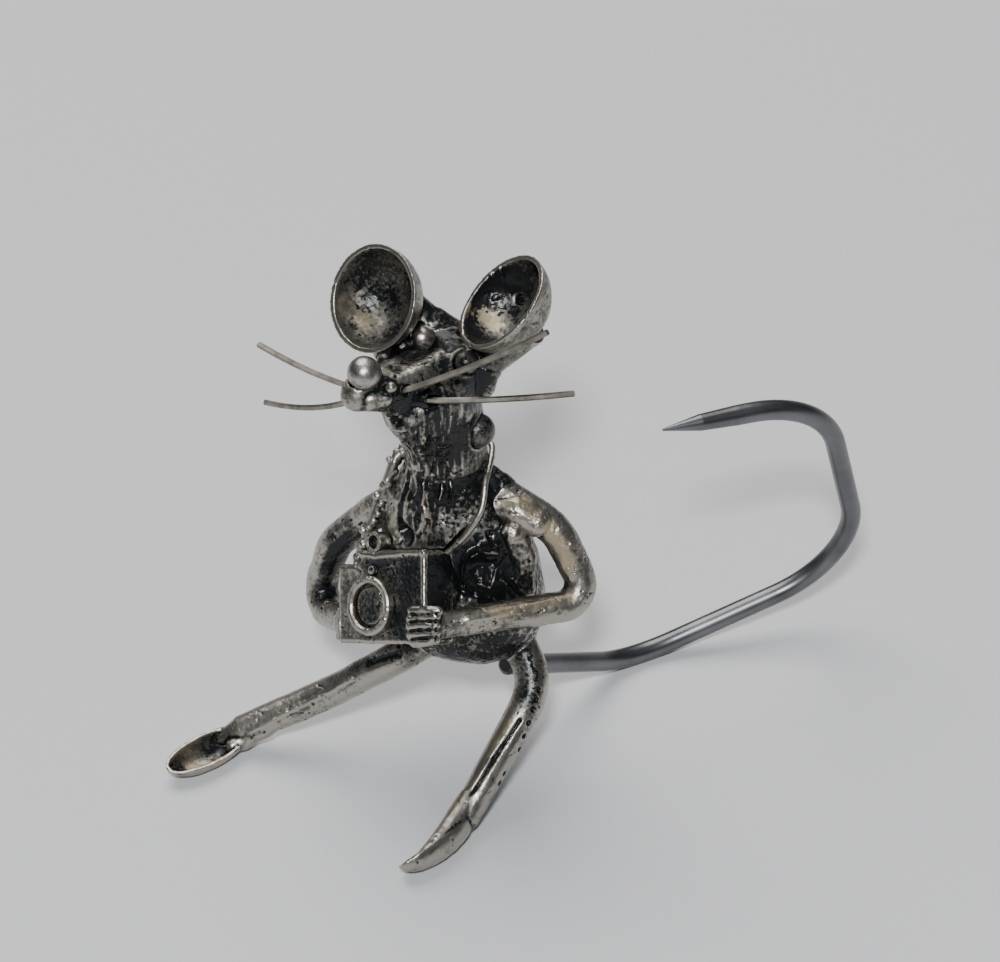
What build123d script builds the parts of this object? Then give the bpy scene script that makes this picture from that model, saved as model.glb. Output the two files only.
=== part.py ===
from build123d import *
import os

# Mouse photographer: a hand-made pewter figurine, about 34 mm tall.
# It stands on two spoon-shaped feet and on the bend of the fish hook that is its tail.
# Every piece is cast or bent by itself and soldered into a seat in its neighbour.
# Millimetres and degrees. The mouse looks along -Y, its left is +X, the ground is z = 0.

# Shared by all pieces
solder_gap = 0.03

# Torso: a pear, turned towards the mouse's left, whose neck leans to its right
torso_foot_x = 0.8
torso_foot_y = 0.8
torso_foot_height = 7.3
torso_height = 13.6
torso_half_width = 5.0
torso_half_depth = 4.3
neck_lean_x = -2.0
neck_lean_y = -0.2
shoulder_turn = 30.0
torso_height_shares = (0.0, 0.05, 0.18, 0.36, 0.54, 0.70, 0.85, 1.0)
torso_width_shares = (0.42, 0.70, 0.95, 1.0, 0.95, 0.87, 0.69, 0.52)
torso_depth_shares = (0.42, 0.70, 0.96, 1.0, 0.92, 0.82, 0.69, 0.58)

# Head: a neck that widens into the skull
head_height = 8.3
head_half_width = 2.6
head_half_depth = 3.5
head_height_shares = (0.0, 0.25, 0.48, 0.70, 0.88, 1.0)
head_width_shares = (1.0, 0.96, 0.98, 1.0, 0.86, 0.45)
head_depth_shares = (0.72, 0.80, 0.96, 1.0, 0.82, 0.42)
head_forward_shares = (0.0, 0.12, 0.30, 0.34, 0.16, 0.03)

# Muzzle: a blunt cone that points a little upwards
muzzle_length = 5.8
muzzle_root_radius = 2.15
muzzle_turn = -6.0
muzzle_lift = 12.0
muzzle_root_share = 0.76
muzzle_length_shares = (0.0, 0.35, 0.7, 1.0)
muzzle_radius_shares = (1.0, 0.90, 0.70, 0.50)

# Nose: a ball soldered on the top of the muzzle
nose_radius = 1.05
nose_rise = 1.45

# Eyes: domed pins in drilled seats
eye_radius = 0.75
eye_sink = 0.45
eye_spacing = 3.7
eye_height = 7.75
eye_forward = 0.1
eye_turn = 35.0
eye_lift = 40.0

# Ears: round cups on short roots
ear_radius = 3.3
ear_depth = 2.9
ear_wall = 0.34
ear_root_radius = 1.3
ear_root_share = 0.80
ear_root_out = 1.3
ear_root_back = 2.3
ear_right_x = -5.3
ear_right_y = -1.45
ear_right_z = 31.3
ear_right_turn = -2.0
ear_right_lift = 32.0
ear_left_x = 1.7
ear_left_y = 2.3
ear_left_z = 32.7
ear_left_turn = -35.0
ear_left_lift = 48.0

# Bead at the left of the nape
bead_radius = 1.1
bead_height_share = 0.30
bead_out = 2.35
bead_sink = 0.9

# Whiskers: four stiff wires in holes drilled in the muzzle
whisker_radius = 0.19
whisker_sides = 6
whisker_length = 10.0
whisker_spread = 0.27
whisker_drop = 0.3
whisker_hole_depth = 0.8
# For each: side of the muzzle, place along it, turn and lift of its line, length, bow
whisker_shares = {
    "whisker_right_upper": (-1, 0.90, -88.0, -6.0, 0.86, -0.03),
    "whisker_right_lower": (-1, 0.86, -86.0, -28.0, 0.90, -0.06),
    "whisker_left_upper": (1, 0.66, 121.0, 33.0, 1.12, -0.03),
    "whisker_left_lower": (1, 0.45, 125.0, 10.0, 1.0, -0.02),
}

# Toy camera: a stepped box held aslant in front of the chest
camera_width = 7.5
camera_height = 5.7
camera_depth = 2.7
camera_edge = 0.22
camera_x = -0.75
camera_y = -5.5
camera_z = 13.6
camera_turn = -5.3
camera_lift = 25.6
camera_roll = 27.6
step_width = 1.9
step_drop = 0.9
timer_radius = 0.3
timer_height = 0.25

# Lens ring, lens and viewfinder of the toy camera
ring_radius = 1.85
ring_bore_radius = 1.3
ring_height = 0.6
ring_x = -0.6
ring_y = -0.55
lens_thickness = 0.3
lens_edge = 0.15
finder_radius = 0.66
finder_bore_radius = 0.4
finder_bore_depth = 0.5
finder_length = 1.0
finder_x = -0.65
finder_rise = 0.45

# Arms and hands
arm_radius = 1.02
arm_radius_shares = (1.02, 1.08, 1.02, 0.84)
shoulder_height_share = 0.85
shoulder_left_out = 3.0
shoulder_right_out = 2.9
shoulder_right_forward = 0.7
shoulder_right_drop = 0.6
bicep_left_x = 5.0
bicep_left_y = 3.8
bicep_left_z = 16.8
bicep_right_x = -7.1
bicep_right_y = -3.3
bicep_right_z = 13.0
bicep_bend = 4.0
elbow_left_x = 7.6
elbow_left_y = 4.3
elbow_left_z = 12.4
elbow_right_x = -8.6
elbow_right_y = -3.7
elbow_right_z = 7.9
elbow_bend = 1.4
hand_out = 0.45
hand_drop = 1.7
hand_set_back = 0.4
palm_radius = 0.95
finger_radius = 0.28
finger_length = 2.1
finger_pitch = 0.5
finger_shift = 0.2
finger_sunk = 0.1
finger_count = 4

# Legs: tapering rods
leg_radius = 1.05
leg_radius_shares = (1.06, 1.02, 0.98, 0.88)
hip_right_x = -0.4
hip_right_y = -1.6
hip_left_x = 2.0
hip_left_y = 0.9
hip_rise = 2.2
leg_right_knee_shares = (0.15, 0.29, 0.20)
leg_right_shin_shares = (0.60, 0.56, 0.68)
leg_left_knee_shares = (0.72, 0.03, 0.30)
leg_left_shin_shares = (0.78, 0.36, 0.60)
leg_right_bends = (4.0, 12.0)
leg_left_bends = (3.4, 10.0)
tongue_length = 1.9
tongue_share = 0.3

# Spoon feet: each half of a long ellipsoid, hollowed and filed flat underneath
foot_half_length = 3.1
heel_share = 0.85
heel_rise = 0.1
foot_radius = 1.3
foot_wall = 0.3
foot_length_shares = (-1.0, -0.85, -0.45, 0.0, 0.45, 0.85, 1.0)
foot_radius_shares = (0.2, 0.56, 0.9, 1.0, 0.9, 0.56, 0.2)
foot_filed = 0.06
foot_right_x = -8.8
foot_right_y = -12.75
foot_right_heading = -5.0
foot_right_tilt = -8.0
foot_left_x = 7.3
foot_left_y = -8.9
foot_left_heading = 3.0
foot_left_tilt = 50.0

# Tail: a fish hook whose shank is soldered under the butt
hook_wire_radius = 0.63
shank_end_x = 3.4
shank_end_y = 1.0
shank_end_z = 7.0
hook_heel_x = 2.5
hook_heel_y = 12.9
hook_heel_z = 0.0135
hook_heading = -27.0
hook_rise_angle = 16.7
hook_lean = 15.7
hook_reach = 16.4
hook_gape = 18.4
hook_back = 5.5
hook_back_rise = 2.2
hook_heel_bend = 6.0
hook_toe_bend = 6.0
hook_crown_bend = 7.6
hook_point_length = 5.0
point_body_share = 0.5
point_waist_share = 0.82
point_tip_share = 0.12
shank_edge = 0.2

# Strap: a bent wire from the camera round the nape and back to the camera
# Its route round the torso, as shares of the height and angles from the left side
strap_radius = 0.24
strap_sides = 8
strap_bend = 1.6
strap_stand_off = 0.12
strap_sunk = 0.3
strap_route_shares = (
    (0.95, -172.0, 1.0),
    (1.0, 122.0, 1.12),
    (1.0, 45.0, 1.10),
    (0.97, -25.0, 1.05),
    (0.84, -52.0, 1.10),
)


def facing(turn, lift):
    """Direction of -Y once it is lifted, then turned about the vertical."""
    return Vector(0, -1, 0).rotate(Axis.X, -lift).rotate(Axis.Z, turn)


def between(heights, shares, height):
    """Value at a height share, on straight lines between the listed shares."""
    value = shares[-1]
    for low in range(len(shares) - 1, 0, -1):
        if height <= heights[low]:
            part = (height - heights[low - 1]) / (heights[low] - heights[low - 1])
            value = shares[low - 1] + part * (shares[low] - shares[low - 1])
    return value


def ball(centre, radius, mode=Mode.ADD, seam=0):
    """A sphere round a point, its seam turned to an angle about the vertical."""
    with Locations(Location(centre, (0, 0, seam))):
        Sphere(radius, mode=mode)


def limb(path, radius, shares):
    """A tapering round limb: cones along the straight runs, even bends between them."""
    with BuildPart() as form:
        for place, edge in enumerate(path.order_edges()):
            run = Plane(origin=edge @ 0, z_dir=edge % 0)
            near = radius * shares[(place + 1) // 2]
            if place % 2 == 0:
                far = radius * shares[place // 2 + 1]
                with Locations(run):
                    Cone(near, far, edge.length, align=(Align.CENTER, Align.CENTER, Align.MIN))
            else:
                with BuildSketch(run):
                    Circle(near)
                sweep(path=edge)
    return form.part


def wire(path, radius, sides=0):
    """A wire bent along its path, round or with flat sides."""
    with BuildPart() as form:
        with BuildSketch(Plane(origin=path @ 0, z_dir=path % 0)):
            if sides:
                RegularPolygon(radius, sides)
            else:
                Circle(radius)
        sweep(path=path)
    return form.part


def drilled(centre, line, radius, sink, reach):
    """A round bar along a line, from its sunk end to its reach beyond the centre."""
    with BuildPart() as form:
        with BuildSketch(Plane(origin=centre - line * sink, z_dir=line)):
            Circle(radius)
        extrude(amount=sink + reach)
    return form.part


def domed_pin(centre, line, radius, sink):
    """A short pin with a half-round head round the centre."""
    with BuildPart() as form:
        ball(centre, radius)
        split(bisect_by=Plane(origin=centre, z_dir=line), keep=Keep.TOP)
        add(drilled(centre, line, radius, sink, 0))
    return form.part


# Reference points and directions of the torso, the head and the muzzle
torso_foot = Vector(torso_foot_x, torso_foot_y, torso_foot_height)
torso_rise = Vector(neck_lean_x, neck_lean_y, torso_height)
neck = torso_foot + torso_rise
shoulder_line = Vector(1, 0, 0).rotate(Axis.Z, shoulder_turn)
chest_line = facing(shoulder_turn, 0)
upright = Vector(0, 0, 1)


def torso_skin(height, angle, grow, off):
    """Point off the torso's grown surface; angle 0 is its left side, -90 its chest."""
    across = torso_half_width * between(torso_height_shares, torso_width_shares, height) * grow + off
    deep = torso_half_depth * between(torso_height_shares, torso_depth_shares, height) * grow + off
    turned = Vector(1, 0, 0).rotate(Axis.Z, angle)
    centre = torso_foot + torso_rise * height
    return centre + shoulder_line * (across * turned.X) - chest_line * (deep * turned.Y)


def head_point(height):
    """Centre of the head's section at a share of its height."""
    forward = head_half_depth * between(head_height_shares, head_forward_shares, height)
    return neck + Vector(0, -forward, head_height * height)


muzzle_line = facing(muzzle_turn, muzzle_lift)
muzzle_side = Vector(1, 0, 0).rotate(Axis.Z, muzzle_turn)
muzzle_up = muzzle_line.cross(muzzle_side)
muzzle_root = head_point(muzzle_root_share)
muzzle_tip = muzzle_root + muzzle_line * muzzle_length
muzzle_tip_radius = muzzle_root_radius * muzzle_radius_shares[-1]
muzzle_path = Line(muzzle_root, muzzle_tip)
nose_centre = muzzle_tip + muzzle_up * nose_rise
eye_middle = neck + Vector(0, -eye_forward, eye_height)
eye_right_centre = eye_middle - Vector(eye_spacing / 2, 0, 0)
eye_left_centre = eye_middle + Vector(eye_spacing / 2, 0, 0)
eye_right_line = facing(-eye_turn, eye_lift)
eye_left_line = facing(eye_turn, eye_lift)
bead_centre = head_point(bead_height_share) + shoulder_line * bead_out

# Frame of the toy camera: its origin is the middle of the front, z points out of the lens
camera_line = facing(camera_turn, camera_lift)
camera_level = Vector(1, 0, 0).rotate(Axis.Z, camera_turn)
camera_across = camera_level.rotate(Axis((0, 0, 0), camera_line), camera_roll)
camera_plane = Plane(origin=(camera_x, camera_y, camera_z), x_dir=camera_across, z_dir=camera_line)


def on_camera(x, y, z):
    """Point given in the toy camera's own frame."""
    return camera_plane.from_local_coords(Vector(x, y, z))


def camera_block(grow):
    """The toy camera's outer box, larger all round by grow where it cuts its seat."""
    with BuildPart(camera_plane.offset(grow)) as form:
        Box(
            camera_width + 2 * grow,
            camera_height + 2 * grow,
            camera_depth + 2 * grow,
            align=(Align.CENTER, Align.CENTER, Align.MAX),
        )
    return form.part


# Arms: each path runs from the shoulder over the bicep and the elbow to the hand
torso_shoulder = torso_foot + torso_rise * shoulder_height_share
shoulder_left = torso_shoulder + shoulder_line * shoulder_left_out
shoulder_right = (
    torso_shoulder
    - shoulder_line * shoulder_right_out
    + chest_line * shoulder_right_forward
    - upright * shoulder_right_drop
)
bicep_left = Vector(bicep_left_x, bicep_left_y, bicep_left_z)
bicep_right = Vector(bicep_right_x, bicep_right_y, bicep_right_z)
elbow_left = Vector(elbow_left_x, elbow_left_y, elbow_left_z)
elbow_right = Vector(elbow_right_x, elbow_right_y, elbow_right_z)
hand_left = on_camera(camera_width / 2 + hand_out, -hand_drop, -hand_set_back)
hand_right = on_camera(-camera_width / 2 - hand_out, -hand_drop, -camera_depth / 2)
finger_height = finger_radius - finger_sunk
hand_left_grip = on_camera(camera_width / 2 + finger_shift, -hand_drop, finger_height)
hand_right_grip = on_camera(-camera_width / 2 - finger_height, -hand_drop, -camera_depth / 2)
arm_bends = (bicep_bend, elbow_bend)
arm_left_path = FilletPolyline(shoulder_left, bicep_left, elbow_left, hand_left, radius=arm_bends)
arm_right_path = FilletPolyline(shoulder_right, bicep_right, elbow_right, hand_right, radius=arm_bends)


def arm_form(path, grow):
    """One arm without its fingers, larger all round by grow where it cuts its seat."""
    with BuildPart() as form:
        add(limb(path, arm_radius + grow, arm_radius_shares))
        ball(path @ 1, palm_radius + grow)
    return form.part


def fingers(middle, lean):
    """Fingers side by side along the edge of the camera that the hand holds."""
    reach = lean * (finger_length / 2)
    with BuildPart() as form:
        for finger in range(finger_count):
            rise = finger_pitch * (finger - (finger_count - 1) / 2)
            knuckle = middle + camera_plane.y_dir * rise
            with BuildSketch(Plane(origin=knuckle - reach, x_dir=camera_plane.y_dir, z_dir=lean)):
                Circle(finger_radius)
            extrude(amount=finger_length)
    return form.part


# Legs and feet
foot_height = foot_radius - foot_filed
hip_right = torso_foot + Vector(hip_right_x, hip_right_y, hip_rise)
hip_left = torso_foot + Vector(hip_left_x, hip_left_y, hip_rise)
foot_right = Vector(foot_right_x, foot_right_y, foot_height)
foot_left = Vector(foot_left_x, foot_left_y, foot_height)
foot_right_line = facing(foot_right_heading, 0)
foot_left_line = facing(foot_left_heading, 0)


def leg_path(hip, foot, foot_line, bends, *stops):
    """Route from the hip to the heel, its bends at shares of the way on each axis."""
    heel = foot - foot_line * (foot_half_length * heel_share) + upright * heel_rise
    way = heel - hip
    knees = [hip + Vector(way.X * x, way.Y * y, way.Z * z) for x, y, z in stops]
    return FilletPolyline(hip, *knees, heel, radius=bends)


leg_right_path = leg_path(
    hip_right,
    foot_right,
    foot_right_line,
    leg_right_bends,
    leg_right_knee_shares,
    leg_right_shin_shares,
)
leg_left_path = leg_path(
    hip_left,
    foot_left,
    foot_left_line,
    leg_left_bends,
    leg_left_knee_shares,
    leg_left_shin_shares,
)


def tongue(path):
    """The end of the leg, drawn out thin where it runs into the hollow of the foot."""
    with BuildPart() as form:
        with Locations(Plane(origin=path @ 1, z_dir=path % 1)):
            Cone(
                leg_radius * leg_radius_shares[-1],
                leg_radius * tongue_share,
                tongue_length,
                align=(Align.CENTER, Align.CENTER, Align.MIN),
            )
    return form.part


def foot_boat(centre, line, tilt, shrink):
    """The lower half of a long egg, opened towards the tilted upright."""
    open_line = upright.rotate(Axis((0, 0, 0), line), tilt)
    with BuildPart() as form:
        for along, share in zip(foot_length_shares, foot_radius_shares):
            station = centre + line * ((foot_half_length - shrink) * along)
            with BuildSketch(Plane(origin=station, x_dir=open_line, z_dir=line)):
                Circle((foot_radius - shrink) * share)
        loft()
        split(bisect_by=Plane(origin=centre, x_dir=line, z_dir=open_line), keep=Keep.BOTTOM)
    return form.part


# Tail: shank, heel on the ground, toe, crown, point
shank_end = Vector(shank_end_x, shank_end_y, shank_end_z)
hook_heel = Vector(hook_heel_x, hook_heel_y, hook_heel_z)
hook_run = Vector(0, 1, 0).rotate(Axis.X, hook_rise_angle).rotate(Axis.Z, hook_heading)
hook_level = hook_run.cross(upright).normalized()
hook_normal = hook_level.rotate(Axis((0, 0, 0), hook_run), hook_lean)
hook_plane = Plane(origin=hook_heel, x_dir=hook_run, z_dir=hook_normal)


def on_hook(x, y):
    """Point in the plane of the hook's bend."""
    return hook_plane.from_local_coords(Vector(x, y, 0))


hook_toe = on_hook(hook_reach, 0)
hook_crown = on_hook(hook_reach, hook_gape)
point_root = on_hook(hook_reach - hook_back, hook_gape + hook_back_rise)
point_line = (point_root - hook_crown).normalized()
point_waist = point_root + point_line * (hook_point_length * point_body_share)
hook_bends = (hook_heel_bend, hook_toe_bend, hook_crown_bend)
hook_path = FilletPolyline(shank_end, hook_heel, hook_toe, hook_crown, point_root, radius=hook_bends)


def shank_form(grow):
    """The bent wire of the tail up to the root of its point."""
    return wire(hook_path, hook_wire_radius + grow)


# Strap: both ends stand in the top of the toy camera
strap_off = strap_radius + strap_stand_off
strap_start = on_camera(
    -camera_width / 2 + step_width / 2, camera_height / 2 - step_drop - strap_sunk, -camera_depth / 4
)
strap_end = on_camera(
    camera_width / 2 - step_width / 4, camera_height / 2 - strap_sunk, -camera_depth * 3 / 4
)
strap_stops = [torso_skin(height, angle, grow, strap_off) for height, angle, grow in strap_route_shares]
strap_path = FilletPolyline(strap_start, *strap_stops, strap_end, radius=strap_bend)

# Ears: the frame of each has its origin at the middle of the mouth, z out of the cup
ear_right_mouth = Plane(
    origin=(ear_right_x, ear_right_y, ear_right_z),
    x_dir=Vector(1, 0, 0).rotate(Axis.Z, ear_right_turn),
    z_dir=facing(ear_right_turn, ear_right_lift),
)
ear_left_mouth = Plane(
    origin=(ear_left_x, ear_left_y, ear_left_z),
    x_dir=Vector(1, 0, 0).rotate(Axis.Z, ear_left_turn),
    z_dir=facing(ear_left_turn, ear_left_lift),
)
ear_sphere = (ear_radius**2 + ear_depth**2) / (2 * ear_depth)
ear_right_root = head_point(ear_root_share) + Vector(-ear_root_out, ear_root_back, 0)
ear_left_root = head_point(ear_root_share) + Vector(ear_root_out, ear_root_back, 0)


def ear_form(mouth, root, grow, hollow):
    """A cup on its root, hollow for the ear itself and solid where it cuts its seat."""
    middle = mouth.origin + mouth.z_dir * (ear_sphere - ear_depth)
    back = mouth.origin - mouth.z_dir * (ear_depth - ear_wall)
    line = (back - root).normalized()
    with BuildPart() as form:
        ball(middle, ear_sphere + grow)
        split(bisect_by=mouth, keep=Keep.BOTTOM)
        with BuildSketch(Plane(origin=root, z_dir=line)):
            Circle(ear_root_radius + grow)
        extrude(amount=(back - root).length)
        if hollow:
            ball(middle, ear_sphere - ear_wall, Mode.SUBTRACT)
    return form.part


# Whiskers: the arc of each starts at the bottom of its hole in the muzzle
whisker_paths = {}
for name, (side, place, turn, lift, length_share, bow_share) in whisker_shares.items():
    direction = facing(turn, lift)
    stacked = 1 if name.endswith("upper") else -1
    skin = muzzle_root_radius * between(muzzle_length_shares, muzzle_radius_shares, place)
    hole = muzzle_path @ place + muzzle_side * (side * (skin - whisker_hole_depth))
    root = hole + muzzle_up * (stacked * whisker_spread - whisker_drop)
    length = whisker_length * length_share
    middle = root + direction * (length / 2) + upright * (whisker_length * bow_share)
    whisker_paths[name] = ThreePointArc(root, middle, root + direction * length)

# Solids that cut the seats
arm_left_seat = arm_form(arm_left_path, solder_gap)
arm_right_seat = arm_form(arm_right_path, solder_gap)
leg_left_seat = limb(leg_left_path, leg_radius + solder_gap, leg_radius_shares)
leg_right_seat = limb(leg_right_path, leg_radius + solder_gap, leg_radius_shares)
shank_seat = shank_form(solder_gap)
strap_seat = wire(strap_path, strap_radius + solder_gap, strap_sides)
camera_seat = camera_block(solder_gap)
finder_mouth = on_camera(finder_x, camera_height / 2 + finder_rise, 0)
finder_seat = drilled(finder_mouth, camera_line, finder_radius + solder_gap, finder_length + solder_gap, 0)
eye_hole = eye_radius + solder_gap
eye_right_seat = drilled(eye_right_centre, eye_right_line, eye_hole, eye_sink, eye_radius)
eye_left_seat = drilled(eye_left_centre, eye_left_line, eye_hole, eye_sink, eye_radius)
bead_seat = drilled(bead_centre, shoulder_line, bead_radius + solder_gap, bead_sink, bead_radius)
ear_right_seat = ear_form(ear_right_mouth, ear_right_root, solder_gap, False)
ear_left_seat = ear_form(ear_left_mouth, ear_left_root, solder_gap, False)

with BuildPart() as torso:
    for height, width, depth in zip(torso_height_shares, torso_width_shares, torso_depth_shares):
        centre = torso_foot + torso_rise * height
        with BuildSketch(Plane(origin=centre, x_dir=shoulder_line, z_dir=(0, 0, 1))):
            Ellipse(torso_half_width * width, torso_half_depth * depth)
    loft()
    add(arm_left_seat, mode=Mode.SUBTRACT)
    add(arm_right_seat, mode=Mode.SUBTRACT)
    add(leg_left_seat, mode=Mode.SUBTRACT)
    add(leg_right_seat, mode=Mode.SUBTRACT)
    add(shank_seat, mode=Mode.SUBTRACT)
    add(strap_seat, mode=Mode.SUBTRACT)
    add(camera_seat, mode=Mode.SUBTRACT)
    add(finder_seat, mode=Mode.SUBTRACT)

with BuildPart() as head:
    for height, width, depth in zip(head_height_shares, head_width_shares, head_depth_shares):
        with BuildSketch(Plane(origin=head_point(height), x_dir=(0, 1, 0), z_dir=(0, 0, 1))):
            Ellipse(head_half_depth * depth, head_half_width * width)
    loft()
    for height, radius in zip(muzzle_length_shares, muzzle_radius_shares):
        with BuildSketch(Plane(origin=muzzle_path @ height, x_dir=muzzle_side, z_dir=muzzle_line)):
            Circle(muzzle_root_radius * radius)
    loft()
    ball(muzzle_tip, muzzle_tip_radius)
    ball(nose_centre, nose_radius + solder_gap, Mode.SUBTRACT)
    for seat in (eye_right_seat, eye_left_seat, bead_seat):
        add(seat, mode=Mode.SUBTRACT)
    add(ear_right_seat, mode=Mode.SUBTRACT)
    add(ear_left_seat, mode=Mode.SUBTRACT)
    add(strap_seat, mode=Mode.SUBTRACT)
    for path in whisker_paths.values():
        hole = drilled(path @ 0, path % 0, whisker_radius + solder_gap, 0, muzzle_root_radius)
        add(hole, mode=Mode.SUBTRACT)

with BuildPart() as ear_right:
    add(ear_form(ear_right_mouth, ear_right_root, 0, True))
    add(eye_right_seat, mode=Mode.SUBTRACT)

with BuildPart() as ear_left:
    add(ear_form(ear_left_mouth, ear_left_root, 0, True))
    add(eye_left_seat, mode=Mode.SUBTRACT)

with BuildPart() as nose:
    ball(nose_centre, nose_radius)

with BuildPart() as eye_right:
    add(domed_pin(eye_right_centre, eye_right_line, eye_radius, eye_sink))

with BuildPart() as eye_left:
    add(domed_pin(eye_left_centre, eye_left_line, eye_radius, eye_sink))

with BuildPart() as nape_bead:
    add(domed_pin(bead_centre, shoulder_line, bead_radius, bead_sink))
    add(strap_seat, mode=Mode.SUBTRACT)

with BuildPart() as arm_left:
    add(arm_form(arm_left_path, 0))
    add(fingers(hand_left_grip, camera_across * -1))
    add(camera_seat, mode=Mode.SUBTRACT)

with BuildPart() as arm_right:
    add(arm_form(arm_right_path, 0))
    add(fingers(hand_right_grip, camera_line))
    add(camera_seat, mode=Mode.SUBTRACT)
    add(strap_seat, mode=Mode.SUBTRACT)

with BuildPart() as leg_right:
    add(foot_boat(foot_right, foot_right_line, foot_right_tilt, 0))
    add(foot_boat(foot_right, foot_right_line, foot_right_tilt, foot_wall), mode=Mode.SUBTRACT)
    add(limb(leg_right_path, leg_radius, leg_radius_shares))
    add(tongue(leg_right_path))
    split(bisect_by=Plane.XY, keep=Keep.TOP)

with BuildPart() as leg_left:
    add(foot_boat(foot_left, foot_left_line, foot_left_tilt, 0))
    add(foot_boat(foot_left, foot_left_line, foot_left_tilt, foot_wall), mode=Mode.SUBTRACT)
    add(limb(leg_left_path, leg_radius, leg_radius_shares))
    add(tongue(leg_left_path))
    add(shank_seat, mode=Mode.SUBTRACT)
    split(bisect_by=Plane.XY, keep=Keep.TOP)

with BuildPart() as tail_hook:
    add(shank_form(0))
    with Locations(Plane(origin=point_root, z_dir=point_line)):
        Cone(
            hook_wire_radius,
            hook_wire_radius * point_waist_share,
            hook_point_length * point_body_share,
            align=(Align.CENTER, Align.CENTER, Align.MIN),
        )
    with Locations(Plane(origin=point_waist, z_dir=point_line)):
        Cone(
            hook_wire_radius * point_waist_share,
            hook_wire_radius * point_tip_share,
            hook_point_length * (1 - point_body_share),
            align=(Align.CENTER, Align.CENTER, Align.MIN),
        )
    rims = tail_hook.edges().filter_by(GeomType.CIRCLE)
    chamfer(rims.sort_by_distance(shank_end)[0], shank_edge)

with BuildPart() as strap:
    add(wire(strap_path, strap_radius, strap_sides))

with BuildPart(camera_plane) as camera_case:
    Box(camera_width, camera_height, camera_depth, align=(Align.CENTER, Align.CENTER, Align.MAX))
    with Locations((-camera_width / 2, camera_height / 2, 0)):
        Box(step_width * 2, step_drop * 2, camera_depth * 2, mode=Mode.SUBTRACT)
    chamfer(camera_case.edges(), camera_edge)
    with Locations((finder_x, camera_height / 2 + finder_rise, -finder_length / 2)):
        Cylinder(finder_radius + solder_gap, finder_length * 2, mode=Mode.SUBTRACT)
    with Locations((ring_x, ring_y + ring_radius + timer_radius, 0)):
        Cylinder(timer_radius, timer_height, align=(Align.CENTER, Align.CENTER, Align.MIN))

with BuildPart() as camera_body:
    add(camera_case.part)
    add(strap_seat, mode=Mode.SUBTRACT)

with BuildPart(camera_plane) as camera_lens_ring:
    with Locations((ring_x, ring_y, 0)):
        Cylinder(ring_radius, ring_height, align=(Align.CENTER, Align.CENTER, Align.MIN))
        Cylinder(
            ring_bore_radius,
            ring_height,
            align=(Align.CENTER, Align.CENTER, Align.MIN),
            mode=Mode.SUBTRACT,
        )
    chamfer(camera_lens_ring.edges().sort_by(Axis(camera_plane.origin, camera_line))[-2:], ring_height / 4)

with BuildPart(camera_plane) as camera_lens:
    with Locations((ring_x, ring_y, 0)):
        Cylinder(
            ring_bore_radius - solder_gap,
            lens_thickness,
            align=(Align.CENTER, Align.CENTER, Align.MIN),
        )
    chamfer(camera_lens.edges().sort_by(Axis(camera_plane.origin, camera_line))[-1], lens_edge)

with BuildPart(camera_plane) as camera_finder:
    with Locations((finder_x, camera_height / 2 + finder_rise, 0)):
        Cylinder(finder_radius, finder_length, align=(Align.CENTER, Align.CENTER, Align.MAX))
        with Locations((0, 0, -finder_bore_depth)):
            Cylinder(
                finder_bore_radius,
                finder_bore_depth,
                align=(Align.CENTER, Align.CENTER, Align.MIN),
                mode=Mode.SUBTRACT,
            )

pieces = {
    "torso": torso.part,
    "head": head.part,
    "ear_right": ear_right.part,
    "ear_left": ear_left.part,
    "nose": nose.part,
    "eye_right": eye_right.part,
    "eye_left": eye_left.part,
    "nape_bead": nape_bead.part,
    "arm_left": arm_left.part,
    "arm_right": arm_right.part,
    "leg_right": leg_right.part,
    "leg_left": leg_left.part,
    "tail_hook": tail_hook.part,
    "strap": strap.part,
    "camera_body": camera_body.part,
    "camera_lens_ring": camera_lens_ring.part,
    "camera_lens": camera_lens.part,
    "camera_finder": camera_finder.part,
}
for name, path in whisker_paths.items():
    pieces[name] = wire(path, whisker_radius, whisker_sides)

# The whole figurine is moved over its origin: the middle of its box, on the ground
extent = Compound([*pieces.values()]).bounding_box()
home = Location((-extent.center().X, -extent.center().Y, 0))

os.makedirs("parts", exist_ok=True)
for name, piece in pieces.items():
    placed = piece.moved(home)
    placed.label = name
    export_step(placed, f"parts/{name}.step")
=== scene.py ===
import bmesh
import bpy
import numpy as np
from mathutils import Matrix, Vector
from mathutils.bvhtree import BVHTree


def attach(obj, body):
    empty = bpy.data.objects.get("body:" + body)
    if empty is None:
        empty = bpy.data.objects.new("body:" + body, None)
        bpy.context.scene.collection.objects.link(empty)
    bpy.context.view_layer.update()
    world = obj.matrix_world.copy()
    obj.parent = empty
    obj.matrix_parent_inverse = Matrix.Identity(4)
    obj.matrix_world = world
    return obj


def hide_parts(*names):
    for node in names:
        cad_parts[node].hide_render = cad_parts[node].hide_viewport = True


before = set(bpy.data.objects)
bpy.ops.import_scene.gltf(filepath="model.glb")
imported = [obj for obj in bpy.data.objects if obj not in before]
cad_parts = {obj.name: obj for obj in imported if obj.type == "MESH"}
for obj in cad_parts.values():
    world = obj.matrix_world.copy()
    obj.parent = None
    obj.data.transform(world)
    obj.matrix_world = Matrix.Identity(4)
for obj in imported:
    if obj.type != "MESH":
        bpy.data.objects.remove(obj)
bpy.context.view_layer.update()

# TORSO
# A pear of cast pewter, blackened all over and then rubbed, so that black stays in every hollow.
# Its blank is eased by hand, pitted by the mould, and filled with solder where pieces meet.
scene = bpy.context.scene
millimetres = 1000


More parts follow.
